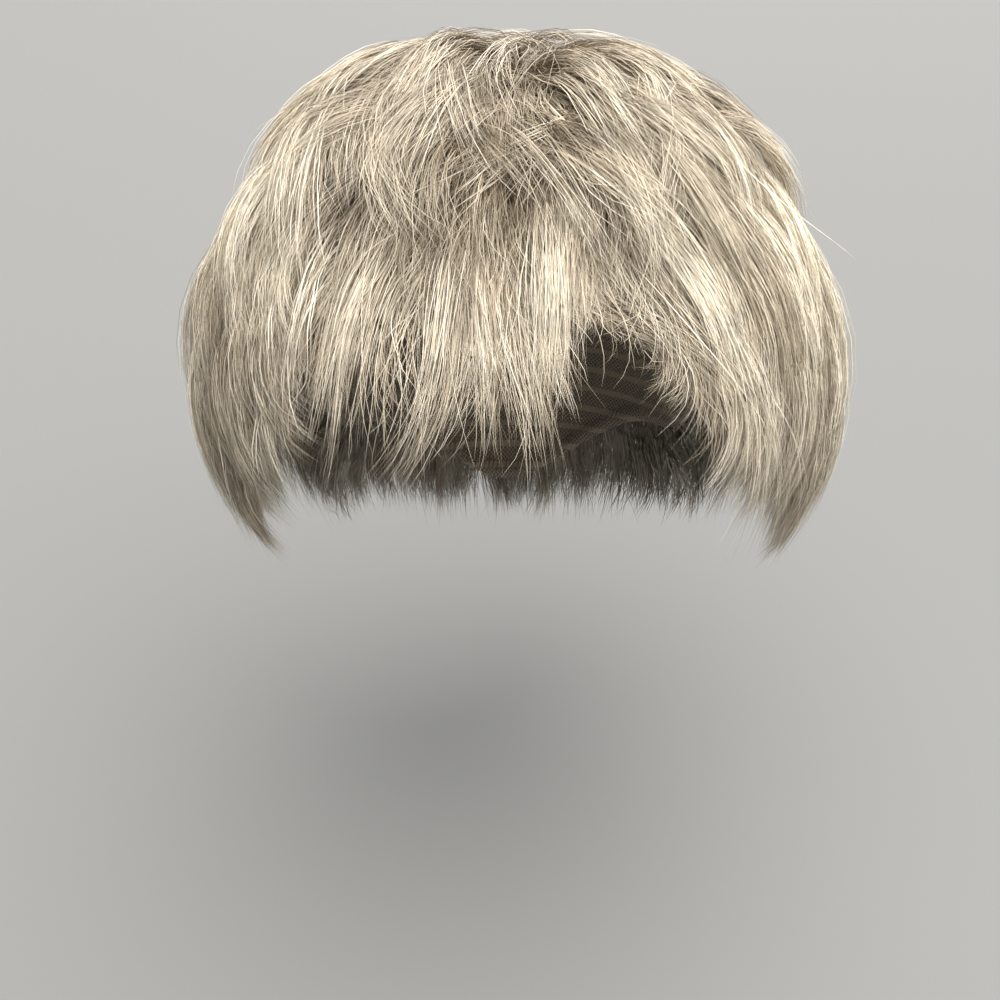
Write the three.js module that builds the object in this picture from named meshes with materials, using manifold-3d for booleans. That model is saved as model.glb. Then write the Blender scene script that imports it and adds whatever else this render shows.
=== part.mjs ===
// A short layered full wig: a close-fitting foundation cap, and six sections of hair that are sewn to it.
// Millimetres, +Z up. The face side looks along -Y, and +X is at the right hand of someone facing the wig.
// The origin is inside the cap at its top, where the cap rests on the crown of the head.
import * as THREE from "three";
import { ParametricGeometry } from "three/addons/geometries/ParametricGeometry.js";
import { mergeVertices } from "three/addons/utils/BufferGeometryUtils.js";
import Module from "manifold-3d";

const wasm = await Module();
wasm.setup();

// The head that the cap fits: two half-ellipsoids that meet at its widest level
const HEAD_HALF_WIDTH = 75;
const HEAD_HALF_DEPTH = 94;
const HEAD_CROWN_HEIGHT = 92;
const HEAD_NAPE_DROP = 120;

// The cap's wall, how far its bound edge swells inwards and over which share of its depth, and its facets
const CAP_WALL = 1.6;
const HEM_SWELL = 0.9;
const HEM_SHARE = 0.18;
const CAP_COLUMNS = 36;
const CAP_ROWS = 8;

// The combed hair's outer form, measured from the same widest level
const HAIR_HALF_WIDTH = 106;
const HAIR_FRONT = 107;
const HAIR_BACK = 121;
const HAIR_TOP = 112;
const HAIR_DROP = 110;

// Clearance between the hair's backing and the cap
const SEAT_GAP = 0.9;

// Backing of a hair section: its depth as a share of the hair's depth, the size of its facets, the share of its
// width over which each side edge thins out, and how far it ends inside the cap's edge
const BODY_LAYER = 0.46;
const BODY_COLUMN_DEG = 9;
const BODY_ROW_DEG = 10;
const EDGE_SHARE = 0.1;
const EDGE_INSET_DEG = 1;

// Pad under the crown's locks: its facets, and how much its depth rounds off towards its rim
const PAD_COLUMNS = 24;
const PAD_ROWS = 3;
const PAD_ROUNDING = 0.25;

// Facets of one lock, powers that put its widest place nearer to the root and round off its ends, and the share
// of its length where it starts to turn towards its tip's depth
const LOCK_SIDES = 6;
const LOCK_STEPS = 6;
const WIDEST_EARLY = 0.72;
const TIP_BLUNT = 0.5;
const TIP_TURNS = 0.75;

// Polar angles where the crown's base ends and where the back hair ends over the nape
const CROWN_POLAR = 22;
const NAPE_POLAR = 112;
const SECTION_GAP_DEG = 0.4;

// Sideways sweep of the styled hair starts and is complete at these polar angles. The roots stay where they
// are sewn, so the sweep also grows with the hair's layer and is complete from this layer outwards
const SWEEP_STARTS = 30;
const SWEEP_ENDS = 80;
const SWEPT_LAYER = 0.5;

// The hair's lower part starts and is complete at these polar angles
const LOWER_STARTS = 50;
const LOWER_ENDS = 85;

const HAIR_COLOUR = 0xd2c8b4;
const CAP_COLOUR = 0x9c8d78;

// Cap edge by azimuth: polar angle from the crown. Front hairline, temple, ear tab, ear, and nape
const CAP_EDGE = [
  { azimuth: -180, polar: 123 },
  { azimuth: -128, polar: 105 },
  { azimuth: -98, polar: 86 },
  { azimuth: -76, polar: 92 },
  { azimuth: -46, polar: 62 },
  { azimuth: 0, polar: 48 },
  { azimuth: 46, polar: 62 },
  { azimuth: 76, polar: 92 },
  { azimuth: 98, polar: 86 },
  { azimuth: 128, polar: 105 },
  { azimuth: 180, polar: 123 },
];

// Styling by azimuth: polar angle of the cut ends, how far the hair is swept sideways, in degrees, and how far out
// its lower part lies, as a share of its depth further up
const STYLE = [
  { azimuth: -180, tip: 139, sweep: 0, full: 1 },
  { azimuth: -122, tip: 127, sweep: 0, full: 1.06 },
  { azimuth: -92, tip: 118, sweep: -2, full: 1 },
  { azimuth: -74, tip: 105, sweep: -4, full: 0.82 },
  { azimuth: -58, tip: 79, sweep: -5, full: 0.7 },
  { azimuth: -24, tip: 77, sweep: -3, full: 0.86 },
  { azimuth: 11, tip: 77, sweep: 0, full: 0.9 },
  { azimuth: 20, tip: 83, sweep: 24, full: 0.94 },
  { azimuth: 30, tip: 90, sweep: 27, full: 1 },
  { azimuth: 56, tip: 106, sweep: 20, full: 1.06 },
  { azimuth: 90, tip: 121, sweep: 7, full: 1.08 },
  { azimuth: 122, tip: 129, sweep: 0, full: 1.06 },
  { azimuth: 180, tip: 139, sweep: 0, full: 1 },
];

// Hair sections under the crown: azimuth span, and polar angles where the backing starts and ends.
// With no end given, the backing ends just inside the cap's edge
const SECTIONS = [
  { name: "hair_fringe", from: -60, to: 12, top: CROWN_POLAR, bottom: null },
  { name: "hair_side_left", from: -122, to: -60, top: CROWN_POLAR, bottom: null },
  { name: "hair_side_right", from: 12, to: 122, top: CROWN_POLAR, bottom: null },
  { name: "hair_back", from: 122, to: 238, top: CROWN_POLAR, bottom: NAPE_POLAR },
  { name: "hair_nape", from: 122, to: 238, top: NAPE_POLAR, bottom: null },
];

// Rows of locks, each over an azimuth span of its section. root is the polar angle where they start, and reach
// the share of the way from there to the cut ends. low, high and end are the lock's depth in the hair at its
// root, middle and tip, where 0 is the cap and 1 the outer form, and it rises from low to high between the
// polar angles lifts and lifted. half_width is in degrees of azimuth, half_depth a share of the hair's depth
const LOCK_ROWS = [
  { section: "hair_fringe", from: -60, to: 12, count: 8, root: 24, reach: 1.0, lifts: 32, lifted: 66,
    low: 0.34, high: 0.84, end: 0.74, half_width: 5.4, half_depth: 0.16 },
  { section: "hair_side_left", from: -122, to: -60, count: 6, root: 24, reach: 0.6, lifts: 32, lifted: 66,
    low: 0.34, high: 0.9, end: 0.88, half_width: 6.8, half_depth: 0.15 },
  { section: "hair_side_left", from: -122, to: -64, count: 6, root: 62, reach: 1.0, lifts: 66, lifted: 92,
    low: 0.36, high: 0.9, end: 0.62, half_width: 6.6, half_depth: 0.17 },
  { section: "hair_side_right", from: 12, to: 122, count: 9, root: 24, reach: 0.64, lifts: 32, lifted: 66,
    low: 0.34, high: 0.9, end: 0.88, half_width: 7.8, half_depth: 0.15 },
  { section: "hair_side_right", from: 36, to: 122, count: 7, root: 62, reach: 1.0, lifts: 66, lifted: 92,
    low: 0.36, high: 0.9, end: 0.62, half_width: 7.8, half_depth: 0.17 },
  { section: "hair_back", from: 122, to: 238, count: 7, root: 24, reach: 0.52, lifts: 32, lifted: 66,
    low: 0.34, high: 0.9, end: 0.88, half_width: 10.2, half_depth: 0.15 },
  { section: "hair_back", from: 122, to: 238, count: 7, root: 58, reach: 0.9, lifts: 62, lifted: 90,
    low: 0.36, high: 0.88, end: 0.8, half_width: 10.2, half_depth: 0.14 },
  { section: "hair_nape", from: 122, to: 238, count: 7, root: 112, reach: 1.0, lifts: 114, lifted: 126,
    low: 0.3, high: 0.38, end: 0.32, half_width: 9.6, half_depth: 0.2 },
];
const CROWN_LOCKS = { count: 13, root: 4, tip: 52, lifts: 10, lifted: 40, low: 0.86, high: 0.89, end: 0.9,
  half_width: 15, half_depth: 0.13 };

// How much the locks' lengths and sideways waves vary, in degrees
const LENGTH_VARIES = 4;
const LOCK_WAVE = 1;

// Points closer than this are one point
const WELD = 1e-3;

const { degToRad, euclideanModulo, lerp, smoothstep } = THREE.MathUtils;

// A repeatable value from -1 to 1 for the n-th lock
const vary = (n) => Math.sin(12.9898 * n + 78.233 * Math.sin(n));

// A column of an azimuth table at any azimuth, eased from row to row
function along(table, azimuth, column) {
  const at = euclideanModulo(azimuth + 180, 360) - 180;
  const next = table.findIndex((row, i) => i > 0 && at <= row.azimuth);
  const [a, b] = [table[next - 1], table[next]];
  return lerp(a[column], b[column], smoothstep(at, a.azimuth, b.azimuth));
}

// A point of a half-ellipsoid pair whose half-axes are given, at an azimuth and a polar angle from the top
function formPoint(target, azimuth, polar, { side, front, back, up, down }) {
  const [a, p] = [degToRad(azimuth), degToRad(polar)];
  const forward = Math.sin(p) * Math.cos(a);
  const upward = Math.cos(p);
  return target.set(
    side * Math.sin(p) * Math.sin(a),
    -(forward > 0 ? front : back) * forward,
    (upward > 0 ? up : down) * upward - HEAD_CROWN_HEIGHT,
  );
}

// A point at a distance outside the head's surface
function headPoint(target, azimuth, polar, outside) {
  return formPoint(target, azimuth, polar, {
    side: HEAD_HALF_WIDTH + outside,
    front: HEAD_HALF_DEPTH + outside,
    back: HEAD_HALF_DEPTH + outside,
    up: HEAD_CROWN_HEIGHT + outside,
    down: HEAD_NAPE_DROP + outside,
  });
}

// A point in the hair. Layer 0 lies on the cap and layer 1 on the outer form, and the style sweeps it sideways
function hairPoint(target, azimuth, polar, layer) {
  const swept = along(STYLE, azimuth, "sweep") * smoothstep(polar, SWEEP_STARTS, SWEEP_ENDS)
    * Math.min(1, layer / SWEPT_LAYER);
  const full = lerp(1, along(STYLE, azimuth, "full"), smoothstep(polar, LOWER_STARTS, LOWER_ENDS));
  const seat = CAP_WALL + SEAT_GAP;
  return formPoint(target, azimuth + swept, polar, {
    side: lerp(HEAD_HALF_WIDTH + seat, HAIR_HALF_WIDTH, layer * full),
    front: lerp(HEAD_HALF_DEPTH + seat, HAIR_FRONT, layer * full),
    back: lerp(HEAD_HALF_DEPTH + seat, HAIR_BACK, layer * full),
    up: lerp(HEAD_CROWN_HEIGHT + seat, HAIR_TOP, layer * full),
    down: lerp(HEAD_NAPE_DROP + seat, HAIR_DROP, layer * full),
  });
}

// A closed surface as a solid, without the facets that collapse at its poles
function solid(geometry) {
  geometry.deleteAttribute("normal");
  geometry.deleteAttribute("uv");
  const merged = mergeVertices(geometry, WELD);
  const triVerts = [];
  const index = merged.index.array;
  for (let i = 0; i < index.length; i += 3) {
    const [a, b, c] = index.slice(i, i + 3);
    if (a !== b && b !== c && c !== a) triVerts.push(a, b, c);
  }
  return new wasm.Manifold(new wasm.Mesh({
    numProp: 3,
    vertProperties: merged.attributes.position.array,
    triVerts: new Uint32Array(triVerts),
  }));
}

// A dome that is open below: its profile runs down the inside from the pole and back up the outside
function dome(inside, outside, columns, rows) {
  const steps = 2 * rows + 1;
  const surface = (u, v, target) => {
    const step = Math.round(v * steps);
    const azimuth = 360 * u - 180;
    if (step <= rows) inside(target, azimuth, step / rows);
    else outside(target, azimuth, (steps - step) / rows);
  };
  return solid(new ParametricGeometry(surface, columns, steps));
}

// The foundation cap, with its bound edge
function cap() {
  const edge = (azimuth) => along(CAP_EDGE, azimuth, "polar");
  const hem = (share) => -HEM_SWELL * smoothstep(share, 1 - HEM_SHARE, 1);
  return dome(
    (target, azimuth, share) => headPoint(target, azimuth, share * edge(azimuth), hem(share)),
    (target, azimuth, share) => headPoint(target, azimuth, share * edge(azimuth), CAP_WALL),
    CAP_COLUMNS, CAP_ROWS,
  );
}

// The crown's base: a thick round pad of hair on top of the cap
function crownBase() {
  const rounded = (share) => CROWN_LOCKS.high * Math.sqrt(1 - PAD_ROUNDING * share * share);
  return dome(
    (target, azimuth, share) => hairPoint(target, azimuth, share * CROWN_POLAR, 0),
    (target, azimuth, share) => hairPoint(target, azimuth, share * CROWN_POLAR, rounded(share)),
    PAD_COLUMNS, PAD_ROWS,
  );
}

// The backing of a section: a pad on the cap that thins out at its two side edges
function backing({ from, to, top, bottom }) {
  const start = top + SECTION_GAP_DEG;
  const end = (azimuth) => (bottom ?? along(CAP_EDGE, azimuth, "polar")) - EDGE_INSET_DEG;
  const deepest = end((from + to) / 2);
  const rows = Math.max(2, Math.ceil((deepest - start) / BODY_ROW_DEG));
  const columns = Math.ceil((to - from) / BODY_COLUMN_DEG);
  const around = 2 * rows + 2;
  const surface = (u, v, target) => {
    const azimuth = lerp(to - SECTION_GAP_DEG, from + SECTION_GAP_DEG, v);
    const step = Math.round(u * around) % around;
    const outer = step > rows;
    const row = outer ? around - 1 - step : step;
    const swell = smoothstep(v, 0, EDGE_SHARE) * smoothstep(1 - v, 0, EDGE_SHARE);
    const layer = outer ? BODY_LAYER * swell : 0;
    hairPoint(target, azimuth, lerp(start, end(azimuth), row / rows), layer);
  };
  return solid(new ParametricGeometry(surface, around, columns));
}

// One lock: a tapered strand bundle that leaves the backing, lies over it and ends in a point
function lock({ azimuth, root, tip, lifts, lifted, low, high, end, half_width, half_depth, wave }) {
  const surface = (u, v, target) => {
    const turn = 2 * Math.PI * u;
    const girth = Math.max(0, Math.sin(Math.PI * v ** WIDEST_EARLY)) ** TIP_BLUNT;
    const polar = lerp(root, tip, v);
    const risen = lerp(low, high, smoothstep(polar, lifts, lifted));
    const depth = risen + (end - high) * smoothstep(v, TIP_TURNS, 1);
    hairPoint(
      target,
      azimuth + wave * Math.sin(Math.PI * v) + half_width * girth * Math.cos(turn),
      polar,
      depth + half_depth * girth * Math.sin(turn),
    );
  };
  return solid(new ParametricGeometry(surface, LOCK_SIDES, LOCK_STEPS));
}

// A row of locks that stays inside its azimuth span
function lockRow(row, seed) {
  const margin = row.half_width + LOCK_WAVE + SECTION_GAP_DEG;
  return Array.from({ length: row.count }, (_, i) => {
    const azimuth = lerp(row.from + margin, row.to - margin, i / (row.count - 1));
    const reached = lerp(row.root, along(STYLE, azimuth, "tip"), row.reach);
    return lock({
      ...row,
      azimuth,
      tip: reached + LENGTH_VARIES * vary(seed + i),
      wave: LOCK_WAVE * vary(seed + i + 0.5),
    });
  });
}

// The crown's locks radiate from the top, over the sections below
function crownLocks() {
  return Array.from({ length: CROWN_LOCKS.count }, (_, i) => lock({
    ...CROWN_LOCKS,
    azimuth: (360 * i) / CROWN_LOCKS.count,
    tip: CROWN_LOCKS.tip + LENGTH_VARIES * (vary(i) - 1),
    wave: LOCK_WAVE * vary(i + 0.5),
  }));
}

// Pieces fused into one body. Pockets that the locks close off between them are filled
function fused(pieces) {
  const bodies = pieces.reduce((whole, piece) => whole.add(piece)).decompose();
  return bodies.reduce((largest, body) => (body.volume() > largest.volume() ? body : largest));
}

function sectionHair(section) {
  const rows = LOCK_ROWS.filter((row) => row.section === section.name);
  const locks = rows.flatMap((row) => lockRow(row, row.root + row.from));
  return fused([backing(section), ...locks]);
}

function mesh(name, manifold, colour, roughness) {
  const { vertProperties, triVerts } = manifold.getMesh();
  const geometry = new THREE.BufferGeometry();
  geometry.setAttribute("position", new THREE.BufferAttribute(vertProperties, 3));
  geometry.setIndex(new THREE.BufferAttribute(triVerts, 1));
  geometry.computeVertexNormals();
  const material = new THREE.MeshStandardMaterial({ color: colour, roughness, metalness: 0 });
  const made = new THREE.Mesh(geometry, material);
  made.name = name;
  return made;
}

const wig = new THREE.Group();
wig.add(mesh("cap", cap(), CAP_COLOUR, 0.9));
wig.add(mesh("hair_crown", fused([crownBase(), ...crownLocks()]), HAIR_COLOUR, 0.5));
for (const section of SECTIONS) {
  wig.add(mesh(section.name, sectionHair(section), HAIR_COLOUR, 0.5));
}

export default wig;
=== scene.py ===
"""A short layered full wig in ash blonde: a net cap with its hair as separate strands.

Sizes are in millimetres and angles in degrees until they reach the scene, which is in metres. The face side
looks along -Y. Azimuth 0 is the middle of the face side and grows towards +X, and polar 0 is straight up.
"""
import math

import bpy
import numpy as np
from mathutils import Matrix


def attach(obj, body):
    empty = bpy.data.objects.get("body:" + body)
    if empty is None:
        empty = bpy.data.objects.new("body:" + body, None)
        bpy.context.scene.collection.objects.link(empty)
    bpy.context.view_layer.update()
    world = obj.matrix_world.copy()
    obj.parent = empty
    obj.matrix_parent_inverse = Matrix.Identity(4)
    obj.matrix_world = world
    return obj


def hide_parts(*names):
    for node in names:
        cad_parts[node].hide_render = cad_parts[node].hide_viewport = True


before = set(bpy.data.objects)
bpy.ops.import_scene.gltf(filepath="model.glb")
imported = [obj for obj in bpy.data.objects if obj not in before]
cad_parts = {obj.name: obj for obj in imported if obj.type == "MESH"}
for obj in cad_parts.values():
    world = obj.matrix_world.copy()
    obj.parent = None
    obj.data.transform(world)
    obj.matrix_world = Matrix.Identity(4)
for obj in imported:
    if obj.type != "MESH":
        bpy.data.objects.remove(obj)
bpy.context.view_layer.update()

MM = 0.001

# Sizes of the hair

# Half-axes of the cap's inside and of the combed hair's outer form, towards +X +Y +Z and towards -X -Y -Z,
# and the cap's wall. The origin is inside the cap at its top. FORM_RADIUS turns lengths over the form into
# angles
INSIDE_PLUS = np.array([75.0, 94.0, 92.0])
INSIDE_MINUS = np.array([75.0, 94.0, 120.0])
CAP_WALL = 1.6
CAP_PLUS = INSIDE_PLUS + CAP_WALL
CAP_MINUS = INSIDE_MINUS + CAP_WALL
HAIR_PLUS = np.array([106.0, 121.0, 112.0])
HAIR_MINUS = np.array([106.0, 107.0, 110.0])
FORM_CENTRE = np.array([0.0, 0.0, -INSIDE_PLUS[2]])
FORM_RADIUS = 100.0

# Near the top the hair falls away from a parting between these two azimuths and polar angles. Further off,
# past PART_NEAR and by PART_FAR, it falls away from a whorl. Locks shift both along PART_SHIFTS
PART_FRONT = (5.0, 16.0)
PART_BACK = (150.0, 14.0)
PART_NEAR = 1.0
PART_FAR = 8.0
PART_SHIFTS = np.array([1.0, 0.0, 0.0])
WHORL = (178.0, 9.0)

# Cap edge by azimuth, as a polar angle, and how far inside it the lowest roots end
CAP_EDGE = np.array([
    (-180, 123), (-128, 105), (-98, 86), (-76, 92), (-46, 62), (0, 48), (46, 62), (76, 92), (98, 86),
    (128, 105), (180, 123),
], float)
ROOT_INSET = 1.0

# Cut line of the hair by azimuth, as a polar angle
CUT_LINE = np.array([
    (-180, 139), (-150, 135), (-122, 126), (-104, 120.5), (-90, 115.5), (-76, 111.5), (-66, 105.5),
    (-56, 96.5), (-50, 89), (-46, 83), (-42, 79), (-36, 79), (-30, 81), (-14, 81), (6, 82), (10, 77),
    (14, 66), (17, 57), (20, 54), (24, 56), (28, 60), (33, 67), (37, 78), (41, 90), (47, 98), (56, 105),
    (66, 110), (80, 114), (90, 116), (105, 120.5), (122, 126), (150, 135), (180, 139),
], float)

# Lines that the crown hair's and the fringe's reach are measured to in the same way
CROWN_LINE = np.array([(-180, 128), (-90, 112), (0, 92), (90, 112), (180, 128)], float)
FRINGE_LINE = np.array([
    (-180, 76), (-52, 76), (-46, 70), (-40, 64), (-34, 60), (-26, 61), (-19, 55), (-14, 56), (-8, 60),
    (-2, 61), (3, 60), (8, 57), (14, 54), (20, 53), (180, 53),
], float)

# Single tufts of the fringe: azimuth and polar angle of the root, polar angle of the tip, and how far the
# tip hooks sideways, in millimetres. The roots of a tuft spread by these azimuth and polar angles
TUFTS = np.array([
    (-49, 52, 76, -5), (-45, 48, 72, -9), (-40, 44, 67, -18), (-36, 46, 66, -20), (-35, 38, 77, -18),
    (-33, 42, 79, -16), (-31, 41, 78, -18), (-28, 44, 75, -14), (-25, 46, 76, 6), (-15, 40, 79, -30),
    (-13, 42, 78, -26), (-10, 44, 75, -22), (-7, 40, 76, -9), (-4, 42, 81, -4), (-2, 43, 78, 2),
    (2, 42, 72, 3), (6, 43, 68, 5),
], float)
TUFT_SPREAD = (2.2, 4.0)

# How far out the hair's lower part lies by azimuth, as a share of the outer form
FULLNESS = np.array([
    (-180, 1.0), (-110, 1.1), (-95, 1.09), (-85, 1.0), (-75, 0.87), (-66, 0.68), (-56, 0.5), (-48, 0.46),
    (-40, 0.64), (-30, 0.8), (0, 0.9), (25, 0.92), (33, 0.86), (45, 0.82), (60, 0.96), (75, 1.1), (85, 1.13),
    (110, 1.1), (180, 1.0),
], float)
FULL_ABOVE = 50.0
FULL_BELOW = 85.0

# How far the comb turns the hair sideways by azimuth, positive towards +azimuth. The turn comes in between
# the first two polar angles and goes out between the last two
COMBED = np.array([
    (-180, 0), (-130, 2), (-90, 2), (-62, 4), (-45, 4), (-30, 5), (-18, 12), (-8, 16), (2, 17), (9, 20),
    (15, 27), (21, 33), (32, 31), (52, 16), (80, 0), (130, 0), (180, 0),
], float)
COMB_STARTS = (30.0, 52.0)
COMB_ENDS = (62.0, 86.0)

# Paths that the comb makes: steps, longest length, length of one wave of a lock, how much of its way a
# path keeps at each step, the most that it may turn off the comb, and the least polar angle that it falls
# by
PATH_STEPS = 40
PATH_LENGTH = 200.0
BEND_LENGTH = 130.0
STIFFNESS = 0.72
MOST_TURN = 75.0
LEAST_FALL = 1.0

# Strands are flat fibres: half their width, also in the under layers, the range of that from strand to
# strand, the share by which it thins towards the tip, how far strands roll about their lines, and the
# layer of their roots
STRAND_HALF_WIDTH = 0.085
UNDER_HALF_WIDTH = 0.16
WIDTH_RANGE = (0.6, 1.3)
THIN_BY = 0.75
MOST_ROLL = 65.0
ROOT_LAYER = -0.05

# A bundle is an oval group of strands: the range of its half-width, its height as a share of that, how
# much of it closes by the tips, and how far the tips part
BUNDLE_HALF_WIDTH = (0.2, 2.8)
BUNDLE_FLATNESS = 0.5
BUNDLE_CLOSES = 0.5
SPLAY = 2.6

# Strands wave slowly: the range of waves along a strand, and their usual size
WAVE_COUNT = (0.4, 1.7)
WAVE_SIZE = 1.0

# Powers that set how late along a strand its tuck, its splay, its waves, its lift and its thinning come
# in, and one that lets more strands taper far than a little
TUCK_LATE = 3
SPLAY_LATE = 2
WAVE_LATE = 0.5
LIFT_LATE = 1.5
THIN_LATE = 3
TAPER_MORE = 0.7

# Hair sections. roots are polar angles, and with no end the roots go on to the cap's edge. locks gather
# bundles, each bundle holds strands, and each strand has points. reach is the share of the way to the cut
# line, or to a line of the section's own, for the highest and the lowest roots, and uneven how much it
# varies. rise is the length in which the hair lifts off, top its layer there, and tuck how far its tips
# turn in. gather pulls bundles into locks, stray turns locks off the comb, shift moves the parting for
# each lock as a share of the form's radius, bend waves the locks, flick moves their tips sideways, as a
# middle value and a spread in millimetres, and hook keeps that near the tips. taper thins out the tips and
# tone makes the hair lighter, partly as its own tone and partly as painted shade, which darkens the under
# layers, the left side and the fringe. half_width is the strands' and splay how far their tips part,
# where these aren't the usual ones
SECTIONS = [
    dict(piece="crown_under_hair", node="hair_crown", seed=31, azimuth=(-180, 180), roots=(1, 26),
         locks=80, bundles=420, strands=8, points=6, line=CROWN_LINE, reach=(0.3, 0.4), uneven=0.4,
         rise=7, top=0.66, tuck=0.0, gather=0.2, stray=30, shift=0.22, bend=25, flick=(0, 5), hook=3,
         taper=0.4, tone_and_painted_shade=-0.02, half_width=UNDER_HALF_WIDTH),
    dict(piece="crown_hair", node="hair_crown", seed=11, azimuth=(-180, 180), roots=(1, 27),
         locks=52, bundles=1150, strands=9, points=8, line=CROWN_LINE, reach=(0.42, 0.56), uneven=0.3,
         rise=8, top=1.1, tuck=0.56, gather=0.45, stray=13, shift=0.12, bend=22, flick=(0, 5), hook=3,
         taper=0.45, tone_and_painted_shade=-0.07),
    dict(piece="crown_crossing", node="hair_crown", seed=27, azimuth=(-180, 180), roots=(1, 24),
         locks=60, bundles=330, strands=7, points=9, line=CROWN_LINE, reach=(0.34, 0.48), uneven=0.4,
         rise=9, top=1.06, tuck=0.14, gather=0.3, stray=15, shift=0.2, bend=24, flick=(0, 6), hook=3,
         taper=0.5, tone_and_painted_shade=-0.06),
    dict(piece="crown_flyaways", node="hair_crown", seed=41, azimuth=(-180, 180), roots=(3, 30),
         locks=48, bundles=48, strands=1, points=12, line=CROWN_LINE, reach=(0.36, 0.6), uneven=0.3,
         rise=30, top=1.2, tuck=0.0, gather=0.0, stray=14, shift=0.15, bend=45, flick=(0, 12), hook=2,
         taper=0.3, tone_and_painted_shade=0.0),
    dict(piece="fringe_under_hair", node="hair_fringe", seed=32, azimuth=(-54, 16), roots=(22, None),
         locks=30, bundles=230, strands=8, points=6, line=FRINGE_LINE, reach=(0.74, 0.86), uneven=0.2,
         rise=22, top=0.72, tuck=0.3, gather=0.15, stray=5, shift=0.0, bend=4, flick=(0, 2), hook=3,
         taper=0.5, tone_and_painted_shade=-0.08, half_width=UNDER_HALF_WIDTH),
    dict(piece="fringe_hair", node="hair_fringe", seed=12, azimuth=(-54, 14), roots=(21, None),
         locks=34, bundles=580, strands=9, points=9, line=FRINGE_LINE, reach=(0.88, 1.0), uneven=0.26,
         rise=26, top=0.95, tuck=0.45, gather=0.66, stray=5, shift=0.04, bend=10, flick=(-1, 5), hook=3,
         taper=0.6, tone_and_painted_shade=-0.08),
    dict(piece="fringe_tufts", node="hair_fringe", seed=18, tufts=TUFTS, roots=(26, None),
         locks=len(TUFTS), bundles=170, strands=7, points=12, reach=(1.0, 1.0), uneven=0.1,
         rise=26, top=0.9, tuck=0.6, gather=0.84, stray=3, shift=0.0, bend=4, flick=(0, 3), hook=3.4,
         taper=0.42, tone_and_painted_shade=-0.05, splay=1.5),
    dict(piece="fringe_wisps", node="hair_fringe", seed=22, azimuth=(-48, 11), roots=(34, None),
         locks=18, bundles=40, strands=3, points=14, reach=(0.94, 0.98), uneven=0.3,
         rise=26, top=0.85, tuck=0.45, gather=0.6, stray=8, shift=0.0, bend=12, flick=(-12, 9), hook=4,
         taper=0.4, tone_and_painted_shade=0.0, splay=1.4),
    dict(piece="left_under_hair", node="hair_side_left", seed=53, azimuth=(-130, -50), roots=(24, None),
         locks=30, bundles=440, strands=8, points=6, reach=(0.8, 0.98), uneven=0.1,
         rise=26, top=0.7, tuck=0.2, gather=0.15, stray=4, shift=0.0, bend=4, flick=(1, 2), hook=3,
         taper=0.3, tone_and_painted_shade=-0.12, half_width=UNDER_HALF_WIDTH),
    dict(piece="left_hair", node="hair_side_left", seed=13, azimuth=(-132, -50), roots=(21, None),
         locks=34, bundles=780, strands=9, points=9, reach=(0.62, 1.0), uneven=0.2,
         rise=26, top=1.04, tuck=0.6, gather=0.45, stray=5, shift=0.0, bend=8, flick=(5, 3), hook=3,
         taper=0.22, tone_and_painted_shade=-0.1),
    dict(piece="right_under_hair", node="hair_side_right", seed=34, azimuth=(16, 124), roots=(24, None),
         locks=30, bundles=470, strands=8, points=6, reach=(0.8, 0.98), uneven=0.1,
         rise=26, top=0.7, tuck=0.2, gather=0.15, stray=4, shift=0.0, bend=4, flick=(-1, 2), hook=3,
         taper=0.3, tone_and_painted_shade=-0.12, half_width=UNDER_HALF_WIDTH),
    dict(piece="right_hair", node="hair_side_right", seed=14, azimuth=(9, 124), roots=(21, None),
         locks=50, bundles=1150, strands=9, points=9, reach=(0.78, 1.0), uneven=0.18,
         rise=26, top=1.02, tuck=0.6, gather=0.5, stray=5, shift=0.03, bend=6, flick=(-4, 4), hook=3,
         taper=0.25, tone_and_painted_shade=0.03),
    dict(piece="right_wisps", node="hair_side_right", seed=24, azimuth=(12, 44), roots=(34, None),
         locks=12, bundles=44, strands=6, points=14, reach=(1.1, 1.2), uneven=0.16,
         rise=26, top=0.85, tuck=0.2, gather=0.7, stray=6, shift=0.0, bend=10, flick=(-10, 6), hook=3,
         taper=0.4, tone_and_painted_shade=0.0),
    dict(piece="back_under_hair", node="hair_back", seed=35, azimuth=(116, 244), roots=(24, 114),
         locks=30, bundles=600, strands=8, points=6, reach=(0.7, 0.98), uneven=0.1,
         rise=26, top=0.7, tuck=0.2, gather=0.15, stray=4, shift=0.0, bend=4, flick=(0, 2), hook=3,
         taper=0.3, tone_and_painted_shade=-0.12, half_width=UNDER_HALF_WIDTH),
    dict(piece="back_hair", node="hair_back", seed=15, azimuth=(116, 246), roots=(21, 112),
         locks=56, bundles=1150, strands=9, points=9, reach=(0.56, 1.0), uneven=0.2,
         rise=26, top=1.03, tuck=0.35, gather=0.5, stray=6, shift=0.05, bend=8, flick=(0, 4), hook=3,
         taper=0.35, tone_and_painted_shade=0.0),
    dict(piece="nape_hair", node="hair_nape", seed=16, azimuth=(122, 238), roots=(110, None),
         locks=22, bundles=440, strands=8, points=6, reach=(0.9, 1.0), uneven=0.2,
         rise=30, top=0.55, tuck=0.1, gather=0.5, stray=6, shift=0.0, bend=8, flick=(0, 4), hook=3,
         taper=0.4, tone_and_painted_shade=-0.12),
]

# Bundles in the middle of a lock lie higher than those at its edges, and painted shade makes the edge ones
# darker and the middle ones lighter: by how much, and how near to the middle neither changes
DOME_LAYER = 0.14
DOME_LAYER_LEVEL = 0.6
DOME_PAINTED_SHADE = 0.5
DOME_PAINTED_SHADE_LEVEL = 0.4

# What bundles vary by themselves in turn, length and flick, as a share of what their locks vary
OWN_TURN = 0.3
OWN_LENGTH = 0.6
OWN_FLICK = 0.4

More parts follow.
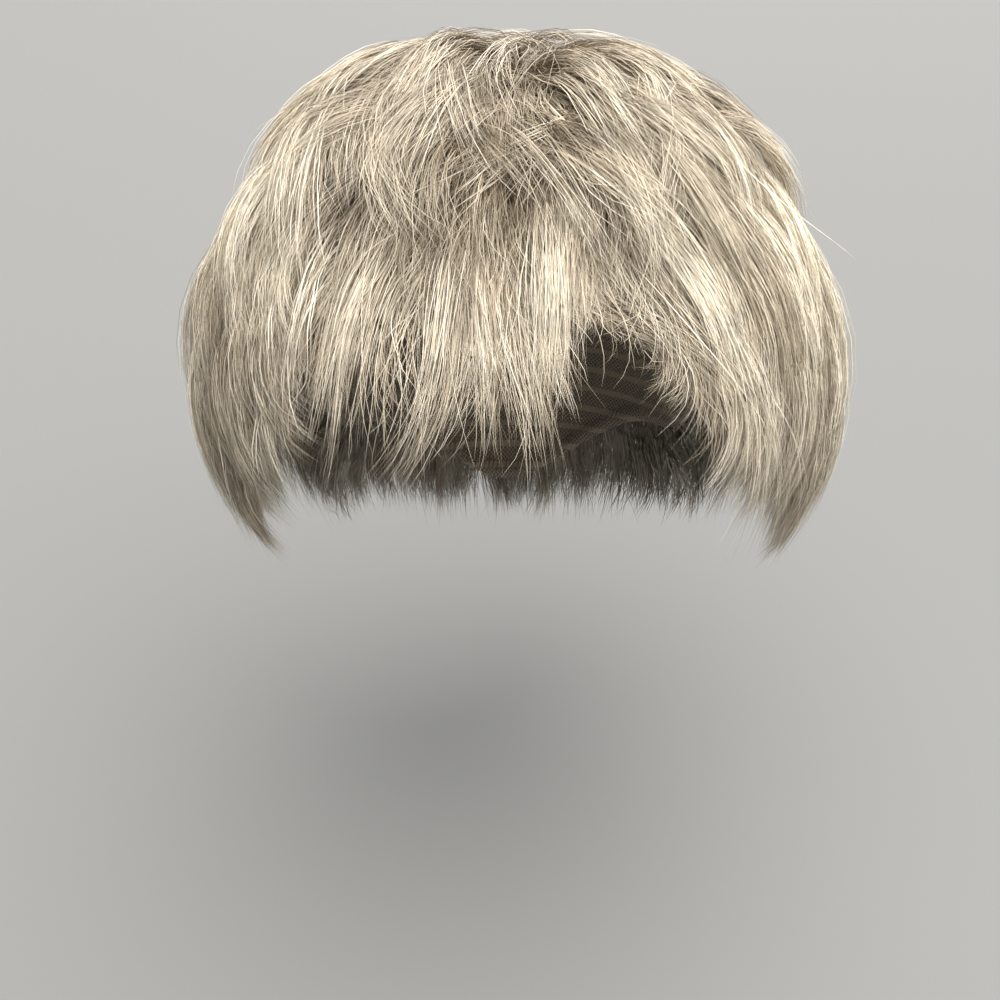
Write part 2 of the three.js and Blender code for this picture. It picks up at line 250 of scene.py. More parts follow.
# Layers of locks and of bundles vary by this much either way. Low roots lie deeper by a drop, which is
# complete at this polar angle below the section's highest roots
LAYER_SPREAD = 0.05
LOW_ROOT_DROP = 0.08
LOW_ROOTS_BELOW = 50.0

# Locks pull in their bundles by their gather times a value in this range, up to a most, and from this
# share of the way to the tips
GATHER_RANGE = (0.6, 1.2)
MOST_GATHER = 0.95
GATHER_FROM = 0.1

# Loose strands: their share, how much further they wander sideways, how many waves they keep, how far they
# lift off, and the range of that
LOOSE_SHARE = 0.04
LOOSE_WANDER = 5.0
LOOSE_WAVES = 0.5
LOOSE_LIFT = 4.0
LOOSE_LIFT_RANGE = (-0.2, 1.0)

# Hair tones from dark to light in linear colour, how far up them most strands lie, how much that varies
# for strands and for locks, how much higher the outside of a bundle lies as painted light, and the share of
# dark strands and how far down they lie
TONES = np.array([(0.12, 0.09, 0.058), (0.31, 0.25, 0.176), (0.62, 0.545, 0.425), (0.95, 0.88, 0.735)])
TONE_MIDDLE = 0.77
TONE_SPREAD = 0.14
LOCK_TONE_SPREAD = 0.07
OUTER_PAINTED_LIGHT = 0.06
DARK_SHARE = 0.3
DARK_DROP = 0.26

# Roots keep a share of their tone and come up to it in a length. From the first to the second of two polar
# angles that shade fades to a share of itself. It takes more from the blue than from the red
ROOT_SHADE = 0.2
ROOT_SHADE_LENGTH = 46.0
ROOT_SHADE_LEFT = 0.35
ROOT_SHADE_FADES = (27.0, 47.0)
ROOT_TINT = np.array([0.93, 1.0, 1.08])

# Painted shade makes the lower hair darker: by how much, and between which polar angles that comes in
PAINTED_LOW_SHADE = 0.39
PAINTED_LOW_SHADE_STARTS = (50.0, 100.0)

# Shapes of the hair


def smooth(value, start, end):
    """How far a value is from start to end, eased at both, from 0 to 1."""
    share = np.clip((value - start) / (end - start), 0, 1)
    return share * share * (3 - 2 * share)


def lookup(table, azimuth):
    """A table's second column at any azimuth."""
    return np.interp((azimuth + 180) % 360 - 180, table[:, 0], table[:, 1])


def heading(azimuth, polar):
    """Unit vectors from the form's centre."""
    a, p = np.radians(azimuth), np.radians(polar)
    return np.stack([np.sin(p) * np.sin(a), -np.sin(p) * np.cos(a), np.cos(p)], -1)


def azimuth_of(direction):
    return np.degrees(np.arctan2(direction[..., 0], -direction[..., 1]))


def polar_of(direction):
    return np.degrees(np.arccos(np.clip(direction[..., 2], -1, 1)))


def unit(vectors):
    return vectors / np.maximum(np.linalg.norm(vectors, axis=-1, keepdims=True), 1e-9)


def on_form(direction, layer):
    """Points in a direction from the form's centre. Layer 0 is the cap's outside and 1 the outer form."""
    inner = np.where(direction > 0, CAP_PLUS, CAP_MINUS)
    outer = np.where(direction > 0, HAIR_PLUS, HAIR_MINUS)
    return direction * (inner + (outer - inner) * layer[..., None]) + FORM_CENTRE


def cap_edge(azimuth):
    """The cap's edge as a polar angle, eased from row to row of its table."""
    at = (azimuth + 180) % 360 - 180
    row = np.clip(np.searchsorted(CAP_EDGE[:, 0], at) - 1, 0, len(CAP_EDGE) - 2)
    start, end = CAP_EDGE[row], CAP_EDGE[row + 1]
    return start[:, 1] + (end[:, 1] - start[:, 1]) * smooth(at, start[:, 0], end[:, 0])


def sow_roots(rng, section, count):
    """Root directions spread evenly over a section of the cap."""
    azimuth = rng.uniform(*section["azimuth"], count)
    first, last = section["roots"]
    if last is None:
        last = cap_edge(azimuth) - ROOT_INSET
    top, bottom = np.cos(np.radians(first)), np.cos(np.radians(last))
    polar = np.degrees(np.arccos(top + (bottom - top) * rng.uniform(0, 1, count)))
    return heading(azimuth, polar)


def sow_tufts(rng, tufts, count):
    """Root directions about the roots of single tufts, which come first."""
    others = count - len(tufts)
    which = np.concatenate([np.arange(len(tufts)), rng.integers(0, len(tufts), others)])
    apart = np.concatenate([np.zeros((len(tufts), 2)), rng.normal(0, TUFT_SPREAD, (others, 2))])
    return heading(tufts[which, 0] + apart[:, 0], tufts[which, 1] + apart[:, 1])


def nearest_on_parting(direction):
    """The nearest direction on the parting, which is an arc between its two ends."""
    front, back = heading(*PART_FRONT), heading(*PART_BACK)
    pole = unit(np.cross(front, back))
    ahead = np.cross(pole, front)
    angle = np.arctan2(direction @ ahead, direction @ front)
    angle = np.clip(angle, 0, np.arccos(front @ back))[:, None]
    return front * np.cos(angle) + ahead * np.sin(angle)


def away_from(direction, source):
    """Unit vectors over the form that lead straight away from a source direction."""
    return unit(direction * (direction * source).sum(-1, keepdims=True) - source)


def comb(roots, turn, bend, phase, shift):
    """Paths over the form: away from the parting and the whorl, turned by the comb, with their own waves."""
    shift = shift[:, None] * PART_SHIFTS
    whorl = unit(heading(*WHORL) + shift)
    step = PATH_LENGTH / PATH_STEPS
    direction = roots
    onward = None
    path = [direction]
    for i in range(PATH_STEPS):
        source = unit(nearest_on_parting(unit(direction - shift)) + shift)
        distance = np.degrees(np.arccos(np.clip((direction * source).sum(-1), -1, 1)))
        past = smooth(distance, PART_NEAR, PART_FAR)[:, None]
        away = unit(away_from(direction, source) * (1 - past) + away_from(direction, whorl) * past)
        across = np.cross(direction, away)
        combed = lookup(COMBED, azimuth_of(direction))
        polar = polar_of(direction)
        combed *= smooth(polar, *COMB_STARTS) * (1 - smooth(polar, *COMB_ENDS))
        waves = bend * np.sin(2 * np.pi * i * step / BEND_LENGTH + phase)
        angle = np.radians(np.clip(combed + turn + waves, -MOST_TURN, MOST_TURN))[:, None]
        wanted = away * np.cos(angle) + across * np.sin(angle)
        onward = wanted if onward is None else unit(onward * STIFFNESS + wanted * (1 - STIFFNESS))
        direction = unit(direction + onward * step / FORM_RADIUS)
        path.append(direction)
    return np.stack(path, 1)


def cut(paths, reach, goal):
    """The length at which each path has come its share of the way from its root to a polar angle."""
    polar = polar_of(paths)
    start = polar[:, :1]
    goal = np.maximum(goal, start + LEAST_FALL)
    done = np.maximum.accumulate((polar - start) / (goal - start), axis=1)
    rows = np.arange(len(paths))
    stop = np.where(done[:, -1] >= reach, np.argmax(done >= reach[:, None], axis=1), PATH_STEPS)
    stop = np.maximum(stop, 1)
    before, after = done[rows, stop - 1], done[rows, stop]
    share = np.clip((reach - before) / np.maximum(after - before, 1e-6), 0, 1)
    return (stop - 1 + share) * PATH_LENGTH / PATH_STEPS


def sample(lines, at):
    """Each line at positions that count its points from 0."""
    before = np.clip(at.astype(int), 0, lines.shape[1] - 2)
    share = (at - before)[..., None]
    rows = np.arange(len(lines))[:, None]
    return lines[rows, before] * (1 - share) + lines[rows, before + 1] * share


def side_of(lines, normal):
    """Unit vectors across each line, in the surface that it lies on."""
    return unit(np.cross(unit(np.gradient(lines, axis=1)), normal))


def shares(section):
    """How far along a strand its points are, from 0 to 1, as one row."""
    return np.linspace(0, 1, section["points"])[None]


def join_locks(roots, locks):
    """For each bundle the lock that it joins, and how near it is to that lock's middle, from 0 to 1."""
    distance = np.linalg.norm(roots[:, None] - roots[None, :locks], axis=-1)
    order = np.sort(distance, axis=1)
    return np.argmin(distance, axis=1), 1 - order[:, 0] / order[:, 1]


def bundle_lines(rng, section):
    """Centre lines of a section's bundles, their surface normals and lengths, and their places in locks."""
    locks, count, share = section["locks"], section["bundles"], shares(section)
    tufts = section.get("tufts")
    roots = sow_roots(rng, section, count) if tufts is None else sow_tufts(rng, tufts, count)
    lock_of, middle = join_locks(roots, locks)
    turn = rng.normal(0, section["stray"], locks)[lock_of]
    turn = turn + rng.normal(0, OWN_TURN * section["stray"], count)
    bend = rng.normal(0, section["bend"], locks)[lock_of]
    phase = rng.uniform(0, 2 * np.pi, locks)[lock_of]
    shift = rng.normal(0, section["shift"], locks)[lock_of]
    paths = comb(roots, turn, bend, phase, shift)
    first = section["roots"][0]
    lowness = smooth(polar_of(roots), first, first + LOW_ROOTS_BELOW)
    reach = section["reach"][0] + (section["reach"][1] - section["reach"][0]) * lowness
    reach = reach * (1 - section["uneven"] * rng.uniform(0, 1, locks)[lock_of])
    reach = reach * (1 - OWN_LENGTH * section["uneven"] * rng.uniform(0, 1, count) ** 2)
    if tufts is None:
        goal = lookup(section.get("line", CUT_LINE), azimuth_of(paths))
    else:
        goal = tufts[lock_of, 2:3]
    lengths = cut(paths, reach, goal)
    directions = unit(sample(paths, share * lengths[:, None] * PATH_STEPS / PATH_LENGTH))
    raised = rng.uniform(-LAYER_SPREAD, LAYER_SPREAD, locks)[lock_of]
    raised = raised + rng.uniform(-LAYER_SPREAD, LAYER_SPREAD, count) - LOW_ROOT_DROP * lowness
    raised = raised + DOME_LAYER * (middle - DOME_LAYER_LEVEL)
    risen = 1 - np.exp(-share * lengths[:, None] / section["rise"])
    low = smooth(polar_of(directions), FULL_ABOVE, FULL_BELOW)
    full = 1 + (lookup(FULLNESS, azimuth_of(directions)) - 1) * low
    top = (section["top"] + raised)[:, None] * full
    layer = ROOT_LAYER + (top - ROOT_LAYER) * risen - section["tuck"] * share ** TUCK_LATE
    lines = on_form(directions, layer)
    pull = np.minimum(section["gather"] * rng.uniform(*GATHER_RANGE, locks), MOST_GATHER)[lock_of]
    lines = lines + (lines[lock_of] - lines) * (pull[:, None] * smooth(share, GATHER_FROM, 1))[..., None]
    flick = rng.normal(*section["flick"], locks) + (0 if tufts is None else tufts[:, 3])
    flick = flick[lock_of] + rng.normal(0, OWN_FLICK * section["flick"][1], count)
    lines = lines - side_of(lines, directions) * (flick[:, None] * share ** section["hook"])[..., None]
    return lines, directions, lengths, middle, lock_of


def strand_lines(rng, section, lines, normal, lengths):
    """Strands of each bundle: its line moved aside and up, with a slow wave and a length of their own."""
    each, share = section["strands"], shares(section)
    lines, normal = np.repeat(lines, each, axis=0), np.repeat(normal, each, axis=0)
    lengths = np.repeat(lengths, each)
    total = len(lines)
    kept = 1 - section["taper"] * rng.uniform(0, 1, total) ** TAPER_MORE
    at = kept[:, None] * share * (section["points"] - 1)
    lines, normal = sample(lines, at), unit(sample(normal, at))
    around = rng.uniform(0, 2 * np.pi, total)
    loose = rng.uniform(0, 1, total) < LOOSE_SHARE
    spread = rng.uniform(*BUNDLE_HALF_WIDTH, total)[:, None] * (1 - BUNDLE_CLOSES * share ** SPLAY_LATE)
    beats = (rng.uniform(*WAVE_COUNT, total) * np.where(loose, LOOSE_WAVES, 1))[:, None] * share
    beats = beats + rng.uniform(0, 1, total)[:, None]
    swing = rng.normal(0, WAVE_SIZE, total) * np.where(loose, LOOSE_WANDER, 1)
    splay = rng.normal(0, section.get("splay", SPLAY), total)
    lift = np.where(loose, rng.uniform(*LOOSE_LIFT_RANGE, total) * LOOSE_LIFT, 0)
    sideways = spread * np.cos(around)[:, None]
    sideways = sideways + swing[:, None] * np.sin(2 * np.pi * beats) * share ** WAVE_LATE
    sideways = sideways + splay[:, None] * share ** SPLAY_LATE
    upwards = BUNDLE_FLATNESS * spread * np.sin(around)[:, None] + lift[:, None] * share ** LIFT_LATE
    lines = lines + side_of(lines, normal) * sideways[..., None] + normal * upwards[..., None]
    return lines, normal, lengths * kept, np.sin(around)


def strand_colours(rng, section, lock_of, middle, lengths, outer, normal):
    """A colour for each point of each strand: a tone of its own, partly painted light and shade, darker
    roots, and painted shade on the low hair.
    """
    count, share = len(lengths), shares(section)
    # A lock's own tone varies at random, and painted shade darkens the bundles at its edges
    lock_tone_and_painted_shade = rng.normal(0, LOCK_TONE_SPREAD, section["locks"])[lock_of]
    lock_tone_and_painted_shade = lock_tone_and_painted_shade + DOME_PAINTED_SHADE * (middle - DOME_PAINTED_SHADE_LEVEL)
    # Painted light makes strands on a bundle's outer side lighter, and part of the section's tone is painted
    # shade
    place = rng.normal(TONE_MIDDLE + section["tone_and_painted_shade"], TONE_SPREAD, count) + OUTER_PAINTED_LIGHT * outer
    place = place + np.repeat(lock_tone_and_painted_shade, section["strands"])
    place = place - DARK_DROP * (rng.uniform(0, 1, count) < DARK_SHARE)
    steps = np.linspace(0, 1, len(TONES))
    tone_and_painted_shade = np.stack([np.interp(place, steps, TONES[:, channel]) for channel in range(3)], -1)
    polar = polar_of(normal)
    shade = (1 - ROOT_SHADE) * (1 - (1 - ROOT_SHADE_LEFT) * smooth(polar[:, :1], *ROOT_SHADE_FADES))
    shade = shade * (1 - smooth(share * lengths[:, None], 0, ROOT_SHADE_LENGTH))
    # Painted shade on the lower hair
    low = PAINTED_LOW_SHADE * smooth(polar, *PAINTED_LOW_SHADE_STARTS)
    return tone_and_painted_shade[:, None] * (1 - shade[..., None] * ROOT_TINT) * (1 - low[..., None])


def hair_strands(section):
    """Lines, surface normals, half-widths, rolls and colours, with painted light and shade, of a section's
    strands.
    """
    rng = np.random.default_rng(section["seed"])
    lines, normal, lengths, middle, lock_of = bundle_lines(rng, section)
    lines, normal, lengths, outer = strand_lines(rng, section, lines, normal, lengths)
    colours_and_painted_shade = strand_colours(rng, section, lock_of, middle, lengths, outer, normal)
    half_width = section.get("half_width", STRAND_HALF_WIDTH) * rng.uniform(*WIDTH_RANGE, len(lines))
    half_width = half_width[:, None] * (1 - THIN_BY * shares(section) ** THIN_LATE)
    roll = np.radians(rng.uniform(-MOST_ROLL, MOST_ROLL, len(lines)))
    return lines, normal, half_width, roll, colours_and_painted_shade


# Meshes


def mesh_from(name, vertices, face_groups):
    """A smooth-shaded mesh from arrays of vertices and of faces, one array for each number of corners."""
    mesh = bpy.data.meshes.new(name)
    mesh.vertices.add(len(vertices))
    mesh.vertices.foreach_set("co", vertices.astype(np.float32).ravel())
    sizes = np.concatenate([np.full(len(group), group.shape[1]) for group in face_groups])
    corners = np.concatenate([group.ravel() for group in face_groups])
    mesh.loops.add(len(corners))
    mesh.loops.foreach_set("vertex_index", corners.astype(np.int32))
    mesh.polygons.add(len(sizes))
    mesh.polygons.foreach_set("loop_start", np.concatenate([[0], np.cumsum(sizes)[:-1]]).astype(np.int32))
    mesh.update(calc_edges=True)
    mesh.polygons.foreach_set("use_smooth", np.ones(len(sizes), bool))
    return mesh


def strip_mesh(name, lines, normal, half_width, roll, colours_and_painted_shade):
    """One mesh of flat fibres that end in a point, each rolled about its line, coloured at each point."""
    count, points = lines.shape[:2]
    side = side_of(lines, normal)
    up = np.cross(side, unit(np.gradient(lines, axis=1)))
    roll = roll[:, None, None]
    half = (side * np.cos(roll) + up * np.sin(roll)) * half_width[..., None]
    edges = np.stack([lines + half, lines - half], 2)[:, :-1].reshape(count, -1, 3)
    vertices = np.concatenate([edges, lines[:, -1:]], 1)
    each = vertices.shape[1]
    starts = (each * np.arange(count))[:, None, None]
    quads = 2 * np.arange(points - 2)[:, None] + np.array([0, 1, 3, 2])
    quads = (quads[None] + starts).reshape(-1, 4)
    tips = (np.array([[each - 3, each - 2, each - 1]])[None] + starts).reshape(-1, 3)
    mesh = mesh_from(name, vertices.reshape(-1, 3) * MM, [quads, tips])
    # Each point's colour, with its painted light and shade
    colour = np.concatenate([np.repeat(colours_and_painted_shade[:, :-1], 2, axis=1), colours_and_painted_shade[:, -1:]], 1).reshape(-1, 3)
    attribute = mesh.color_attributes.new("strand_colour_and_painted_shade", "FLOAT_COLOR", "POINT")
    attribute.data.foreach_set("color", np.concatenate([colour, np.ones((len(colour), 1))], 1).ravel())
    return mesh


def tube_mesh(name, lines, normal, radius):
    """One mesh of closed tubes that end in a point."""
    sides = STITCH_SIDES
    count, points = lines.shape[:2]
    side = side_of(lines, normal)
    up = np.cross(side, unit(np.gradient(lines, axis=1)))
    turns = 2 * np.pi * np.arange(sides) / sides + np.pi / 2
    rings = [lines + radius[..., None] * (side * np.cos(turn) + up * np.sin(turn)) for turn in turns]
    rings = np.stack(rings, 2)[:, :-1].reshape(count, -1, 3)
    vertices = np.concatenate([rings, lines[:, -1:]], 1)
    each = vertices.shape[1]
    corner = np.arange(sides)
    following = (corner + 1) % sides
    first = sides * np.arange(points - 2)[:, None]
    quads = [first + corner, first + sides + corner, first + sides + following, first + following]
    quads = np.stack(quads, -1)
    last = sides * (points - 2)
    tips = np.stack([last + corner, np.full(sides, each - 1), last + following], -1)
    ends = np.concatenate([tips, corner[None]])
    starts = (each * np.arange(count))[:, None, None]
    quads = (quads.reshape(-1, 4)[None] + starts).reshape(-1, 4)
    ends = (ends[None] + starts).reshape(-1, 3)
    return mesh_from(name, vertices.reshape(-1, 3) * MM, [quads, ends])


def add_piece(name, mesh, node, material):
    """A piece of the wig that stands for a node of the frame."""
    piece = bpy.data.objects.new(name, mesh)
    bpy.context.scene.collection.objects.link(piece)
    mesh.materials.append(material)
    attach(piece, "root")
    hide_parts(node)


# The cap

# Facets of the cap's wall, and its bound edge: how far it swells inwards, how wide it is, the share of
# that which is flat, and where its rim rounds off, measured from the cap's edge
CAP_COLUMNS = 120
CAP_ROWS = 66
HEM_SWELL = 0.9
HEM_WIDTH = 7.0
HEM_FLAT = 0.6
HEM_ROUNDING = (-0.5, 0.8)

# Sewn tracks run round the inside: their spacing, their relief, and the level of a cosine wave with that
# spacing where they start
TRACK_SPACING = 8.5
TRACK_RELIEF = 0.45
TRACK_LEVEL = 0.5

# Slanted stitches hold the bound edge: their spacing, slant, thread and sides, where they start and end as
# shares of its width, and how far their middles arch and their ends sink, in radii of the thread
STITCH_SPACING = 2.6
STITCH_SLANT = 1.5
STITCH_RADIUS = 0.22
STITCH_SIDES = 3
STITCH_POINTS = 5
STITCH_START = 0.95
STITCH_END = 0.15
STITCH_ARCH = 2.0
STITCH_SINK = 0.6

# Net of the cap: meshes round it and down each radian, relief in metres, heights where its ground ends and
# its threads' colour is complete, height of the bands on the tracks as a share of the threads' height,
# levels of the tracks' wave where they come in, twist of the sewing thread, and linear colours
NET_MESHES_ROUND = 320
NET_MESHES_DOWN = 56.0
NET_RELIEF = 0.0004
NET_HEIGHTS = (0.35, 0.8)
BAND_HEIGHT = 0.7
BAND_LEVELS = (0.5, 0.7)
THREAD_PLIES_PER_METRE = 900.0
CAP_THREAD = (0.30, 0.24, 0.175, 1)
CAP_GROUND = (0.10, 0.078, 0.056, 1)


def near_inside(azimuth, polar, outwards):
    """Points at a distance outwards from the cap's inner surface."""
    direction = heading(azimuth, polar)
    inside = np.where(direction > 0, INSIDE_PLUS, INSIDE_MINUS)
    return direction * (inside + outwards[..., None]) + FORM_CENTRE


def hem(polar, edge):
    """How far the inside swells at the bound edge."""
    from_edge = np.radians(edge - polar) * FORM_RADIUS
    flat = 1 - smooth(from_edge, HEM_FLAT * HEM_WIDTH, HEM_WIDTH)
    return HEM_SWELL * flat * smooth(from_edge, *HEM_ROUNDING)


def cap_mesh():
    """The cap as one closed wall: its inside from the top down to the edge, and its outside back up."""
    azimuth = np.linspace(-180, 180, CAP_COLUMNS, endpoint=False)
    share = np.arange(1, CAP_ROWS + 1)[:, None] / CAP_ROWS
    edge = cap_edge(azimuth)[None]
    polar = share * edge
    track = np.cos(2 * np.pi * np.radians(polar) * FORM_RADIUS / TRACK_SPACING)
    relief = hem(polar, edge) + TRACK_RELIEF * smooth(track, TRACK_LEVEL, 1)
    inside = near_inside(azimuth[None], polar, -relief)
    outside = near_inside(azimuth[None], polar, np.full(polar.shape, CAP_WALL))[::-1]
    poles = near_inside(np.zeros(2), np.zeros(2), np.array([0, CAP_WALL]))
    rows = np.concatenate([inside, outside]).reshape(-1, 3)
    column = np.arange(CAP_COLUMNS)
    following = (column + 1) % CAP_COLUMNS
    first = CAP_COLUMNS * np.arange(2 * CAP_ROWS - 1)[:, None]
    below = first + CAP_COLUMNS
    quads = [first + following, below + following, below + column, first + column]
    quads = np.stack(quads, -1).reshape(-1, 4)
    last = CAP_COLUMNS * (2 * CAP_ROWS - 1)
    pole = np.full(CAP_COLUMNS, len(rows))
    inner_lid = np.stack([pole, following, column], -1)
    outer_lid = np.stack([pole + 1, last + column, last + following], -1)
    vertices = np.concatenate([rows, poles]) * MM
    return mesh_from("cap_wall", vertices, [quads, np.concatenate([inner_lid, outer_lid])])


def stitch_mesh():
    """Slanted stitches across the inside of the bound edge."""
    count = int(2 * np.pi * FORM_RADIUS / STITCH_SPACING)
    azimuth = np.linspace(-180, 180, count, endpoint=False)[:, None]
    share = np.linspace(0, 1, STITCH_POINTS)[None]
    edge = cap_edge(azimuth[:, 0])[:, None]
    from_edge = HEM_WIDTH * (STITCH_START + (STITCH_END - STITCH_START) * share)
    polar = edge - np.degrees(from_edge / FORM_RADIUS)
    slanted = azimuth + STITCH_SLANT * share
    arch = STITCH_RADIUS * (STITCH_ARCH * np.sin(np.pi * share) - STITCH_SINK)
    lines = near_inside(slanted, polar, -hem(polar, edge) - arch)
    normal = -heading(slanted, polar)
    radius = np.full(polar.shape, STITCH_RADIUS)
    return tube_mesh("cap_stitches", lines, normal, radius)


# Materials

# Faint patches in the hair's colour: how fine they are, the levels of noise that they come from, and how
# much they darken and lighten it
PATCHES_PER_METRE = 140.0
PATCH_DETAIL = 2
PATCH_LEVELS = (0.3, 0.7)
PATCH_DARK = 0.78
PATCH_LIGHT = 1.15

# How matt each material is, the cap's soft sheen, and the floor's linear colour
HAIR_ROUGHNESS = 0.36
CAP_ROUGHNESS = 0.85
CAP_SHEEN = 0.2
THREAD_ROUGHNESS = 0.7
FLOOR_ROUGHNESS = 0.85
FLOOR_COLOUR = (0.185, 0.189, 0.189, 1)


def new_material(name):
    """A material with its nodes, its links and its surface shader."""
    material = bpy.data.materials.new(name)
    material.use_nodes = True
    nodes = material.node_tree.nodes
    return material, nodes, material.node_tree.links, nodes["Principled BSDF"]


def hair_material():
    """Satin fibre in each strand's colours, which hold painted light and shade, with faint patches."""
    material, nodes, links, shader = new_material("hair_fibre")
    colour = nodes.new("ShaderNodeVertexColor")
    colour.layer_name = "strand_colour_and_painted_shade"
    place = nodes.new("ShaderNodeTexCoord")
    noise = nodes.new("ShaderNodeTexNoise")
    noise.inputs["Scale"].default_value = PATCHES_PER_METRE
    noise.inputs["Detail"].default_value = PATCH_DETAIL
    depth = nodes.new("ShaderNodeMapRange")
    depth.inputs["From Min"].default_value = PATCH_LEVELS[0]
    depth.inputs["From Max"].default_value = PATCH_LEVELS[1]
    depth.inputs["To Min"].default_value = PATCH_DARK
    depth.inputs["To Max"].default_value = PATCH_LIGHT
    patched = nodes.new("ShaderNodeVectorMath")
    patched.operation = "SCALE"
    links.new(place.outputs["Object"], noise.inputs["Vector"])
    links.new(noise.outputs["Fac"], depth.inputs["Value"])
    links.new(colour.outputs["Color"], patched.inputs[0])
    links.new(depth.outputs["Result"], patched.inputs["Scale"])
    links.new(patched.outputs["Vector"], shader.inputs["Base Color"])
    shader.inputs["Roughness"].default_value = HAIR_ROUGHNESS
    return material


def cap_material():
    """A net of slanted threads, worked out from azimuth and polar angle, with plain bands on the tracks."""
    material, nodes, links, shader = new_material("cap_net")

    def worked(operation, first, second=None):
        """The result of a sum on sockets or plain numbers."""
        node = nodes.new("ShaderNodeMath")
        node.operation = operation
        for value, socket in zip((first, second), node.inputs):
            if isinstance(value, (int, float)):
                socket.default_value = value
            elif value is not None:
                links.new(value, socket)
        return node.outputs["Value"]

    place = nodes.new("ShaderNodeTexCoord")
    from_centre = nodes.new("ShaderNodeVectorMath")
    from_centre.operation = "SUBTRACT"
    from_centre.inputs[1].default_value = FORM_CENTRE * MM
    direction = nodes.new("ShaderNodeVectorMath")
    direction.operation = "NORMALIZE"
    parts = nodes.new("ShaderNodeSeparateXYZ")
    links.new(place.outputs["Object"], from_centre.inputs[0])
    links.new(from_centre.outputs["Vector"], direction.inputs[0])
    links.new(direction.outputs["Vector"], parts.inputs["Vector"])
    turn = worked("ARCTAN2", parts.outputs["Y"], parts.outputs["X"])
    polar = worked("ARCCOSINE", parts.outputs["Z"])
    round_it = worked("MULTIPLY", turn, NET_MESHES_ROUND / 2)
    down_it = worked("MULTIPLY", polar, NET_MESHES_DOWN * math.pi)
    falling = worked("ABSOLUTE", worked("SINE", worked("ADD", round_it, down_it)))
    rising = worked("ABSOLUTE", worked("SINE", worked("SUBTRACT", round_it, down_it)))
    from_thread = worked("MINIMUM", falling, rising)
    along = worked("COSINE", worked("MULTIPLY", polar, 2 * math.pi * FORM_RADIUS / TRACK_SPACING))
    band = nodes.new("ShaderNodeMapRange")
    band.interpolation_type = "SMOOTHSTEP"
    band.inputs["From Min"].default_value = BAND_LEVELS[0]
    band.inputs["From Max"].default_value = BAND_LEVELS[1]
    links.new(along, band.inputs["Value"])
    banded = worked("MULTIPLY", band.outputs["Result"], BAND_HEIGHT)
    height = worked("MAXIMUM", worked("SUBTRACT", 1, from_thread), banded)
    threads = nodes.new("ShaderNodeValToRGB")
    threads.color_ramp.elements[0].position = NET_HEIGHTS[0]
    threads.color_ramp.elements[0].color = CAP_GROUND
    threads.color_ramp.elements[1].position = NET_HEIGHTS[1]
    threads.color_ramp.elements[1].color = CAP_THREAD
    bump = nodes.new("ShaderNodeBump")
    bump.inputs["Distance"].default_value = NET_RELIEF
    links.new(height, threads.inputs["Fac"])
    links.new(threads.outputs["Color"], shader.inputs["Base Color"])
    links.new(height, bump.inputs["Height"])
    links.new(bump.outputs["Normal"], shader.inputs["Normal"])
    shader.inputs["Roughness"].default_value = CAP_ROUGHNESS
    shader.inputs["Sheen Weight"].default_value = CAP_SHEEN
    return material


def thread_material():
    """Twisted sewing thread."""
    material, nodes, links, shader = new_material("cap_thread")
    place = nodes.new("ShaderNodeTexCoord")
    plies = nodes.new("ShaderNodeTexWave")
    plies.bands_direction = "DIAGONAL"
    plies.inputs["Scale"].default_value = THREAD_PLIES_PER_METRE
    bump = nodes.new("ShaderNodeBump")
    bump.inputs["Distance"].default_value = NET_RELIEF
    links.new(place.outputs["Object"], plies.inputs["Vector"])
    links.new(plies.outputs["Fac"], bump.inputs["Height"])
    links.new(bump.outputs["Normal"], shader.inputs["Normal"])
    shader.inputs["Base Color"].default_value = CAP_THREAD
    shader.inputs["Roughness"].default_value = THREAD_ROUGHNESS
    return material


def floor_material():
    material, _, _, shader = new_material("floor_paper")
    shader.inputs["Base Color"].default_value = FLOOR_COLOUR
    shader.inputs["Roughness"].default_value = FLOOR_ROUGHNESS
    return material


# Camera, floor and lights, in metres

# Where the camera is, how far it looks down, its lens in millimetres, and how near it sees
CAMERA_PLACE = (-0.003, -0.306, 0.048)
CAMERA_PITCH = 29.3
CAMERA_LENS = 38.2
CAMERA_NEAR = 0.01

# The floor's level and half its width
FLOOR_LEVEL = -0.268
FLOOR_HALF = 6.0

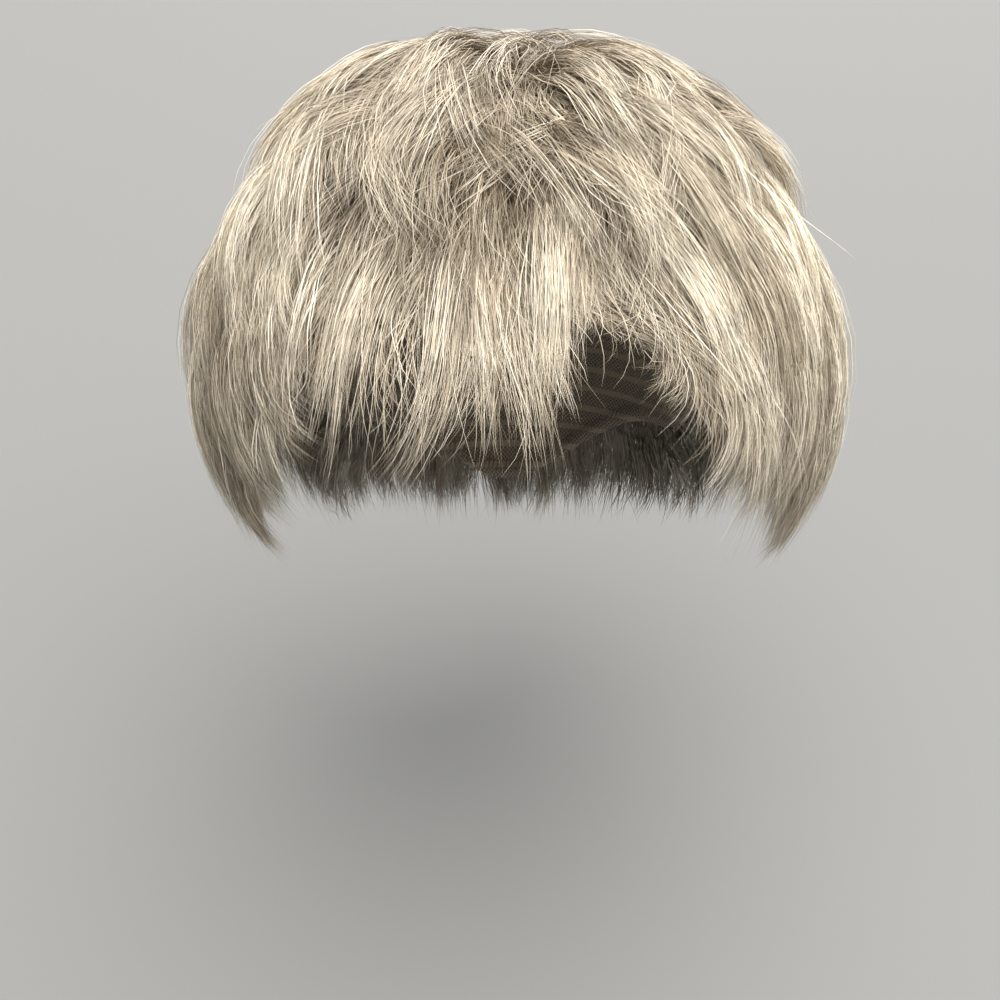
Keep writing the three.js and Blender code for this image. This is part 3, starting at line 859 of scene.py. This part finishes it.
# Soft lights from far away: the direction to each, its strength, the angle that it fills, and its colour.
# The room gives a weak even light
LIGHTS = {
    "key": dict(towards=(0.28, -0.52, 1.25), strength=7.4, spread=84, colour=(1.0, 0.965, 0.92)),
    "fill": dict(towards=(0.2, 1.0, 0.8), strength=1.7, spread=70, colour=(1.0, 0.985, 0.96)),
}
ROOM_COLOUR = (0.72, 0.73, 0.74, 1)
ROOM_STRENGTH = 0.24


def build_camera():
    camera = bpy.data.objects.new("camera", bpy.data.cameras.new("camera"))
    camera.data.lens = CAMERA_LENS
    camera.data.clip_start = CAMERA_NEAR
    camera.location = CAMERA_PLACE
    camera.rotation_euler = (math.radians(90 - CAMERA_PITCH), 0, 0)
    bpy.context.scene.collection.objects.link(camera)
    bpy.context.scene.camera = camera


def build_floor():
    corners = np.array([(-1, -1), (1, -1), (1, 1), (-1, 1)], float) * FLOOR_HALF
    vertices = np.concatenate([corners, np.full((4, 1), FLOOR_LEVEL)], 1)
    mesh = mesh_from("floor", vertices, [np.array([[0, 1, 2, 3]])])
    floor = bpy.data.objects.new("floor", mesh)
    mesh.materials.append(floor_material())
    bpy.context.scene.collection.objects.link(floor)


def add_light(name, towards, strength, spread, colour):
    light = bpy.data.lights.new(name, "SUN")
    light.energy = strength
    light.angle = math.radians(spread)
    light.color = colour
    lamp = bpy.data.objects.new(name, light)
    across = math.hypot(towards[0], towards[1])
    around = math.atan2(towards[1], towards[0])
    lamp.rotation_euler = (math.atan2(across, towards[2]), 0, around + math.pi / 2)
    bpy.context.scene.collection.objects.link(lamp)


def build_lights():
    for name, light in LIGHTS.items():
        add_light(name, **light)
    world = bpy.data.worlds.new("studio")
    world.use_nodes = True
    background = world.node_tree.nodes["Background"]
    background.inputs["Color"].default_value = ROOM_COLOUR
    background.inputs["Strength"].default_value = ROOM_STRENGTH
    bpy.context.scene.world = world
    bpy.context.scene.view_settings.view_transform = "Standard"


# The whole scene

build_camera()
build_floor()
build_lights()
hair = hair_material()
for section in SECTIONS:
    mesh = strip_mesh(section["piece"], *hair_strands(section))
    add_piece(section["piece"], mesh, section["node"], hair)
add_piece("cap_wall", cap_mesh(), "cap", cap_material())
add_piece("cap_stitches", stitch_mesh(), "cap", thread_material())
